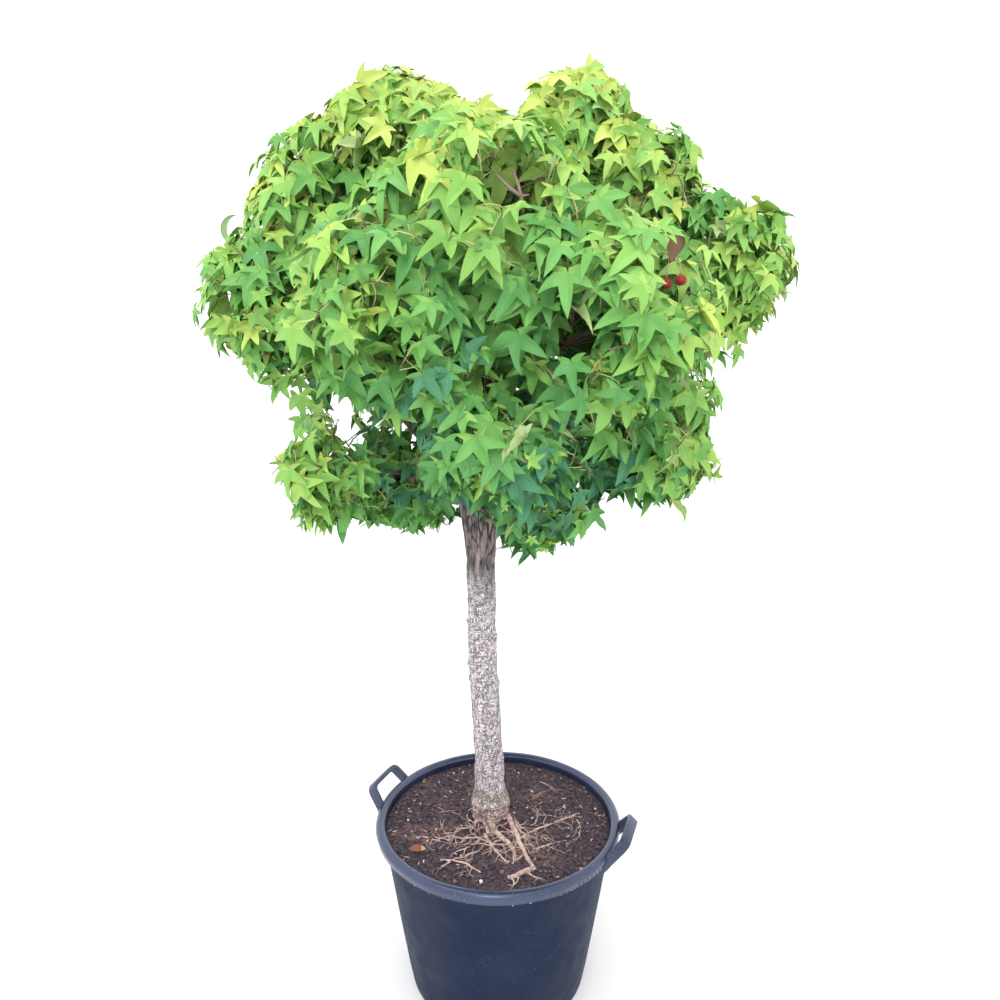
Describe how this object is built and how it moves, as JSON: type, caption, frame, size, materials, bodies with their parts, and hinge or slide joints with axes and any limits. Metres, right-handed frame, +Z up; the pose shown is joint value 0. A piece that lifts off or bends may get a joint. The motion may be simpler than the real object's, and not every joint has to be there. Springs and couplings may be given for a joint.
{
  "type": "potted sweetgum tree",
  "caption": "Young sweetgum with a round crown on a clear stem, in a black nursery tub with two handles",
  "frame": {"origin": "middle of the tub's flat underside, where it stands", "axes": "+Z up, -Y towards the side the picture shows, +X to its right"},
  "size_m": [1.1877, 1.037, 1.9227],
  "materials": {
    "tub_plastic": "satin",
    "soil": "rough",
    "trunk_bark": "rough",
    "bough_bark": "rough",
    "leaf_green": "satin"
  },
  "bodies": {
    "root": {"pot": "tub_plastic", "handle_left": "tub_plastic", "handle_right": "tub_plastic", "soil": "soil", "trunk": "trunk_bark", "bough_top_left": "bough_bark", "bough_top_right": "bough_bark", "bough_upper_left": "bough_bark", "bough_upper_right": "bough_bark", "bough_side_left": "bough_bark", "bough_side_right": "bough_bark", "bough_lower_left": "bough_bark", "bough_lower_right": "bough_bark", "bough_under_left": "bough_bark", "bough_under_right": "bough_bark", "bough_front_top": "bough_bark", "bough_front_left": "bough_bark", "bough_front_right": "bough_bark", "bough_front_low": "bough_bark", "bough_back_top": "bough_bark", "bough_back_left": "bough_bark", "bough_back_right": "bough_bark", "bough_back_low": "bough_bark", "foliage_top_left": "leaf_green", "foliage_top_right": "leaf_green", "foliage_upper_left": "leaf_green", "foliage_upper_right": "leaf_green", "foliage_side_left": "leaf_green", "foliage_side_right": "leaf_green", "foliage_lower_left": "leaf_green", "foliage_lower_right": "leaf_green", "foliage_under_left": "leaf_green", "foliage_under_right": "leaf_green", "foliage_front_top": "leaf_green", "foliage_front_left": "leaf_green", "foliage_front_right": "leaf_green", "foliage_front_low": "leaf_green", "foliage_back_top": "leaf_green", "foliage_back_left": "leaf_green", "foliage_back_right": "leaf_green", "foliage_back_low": "leaf_green"}
  },
  "joints": []
}
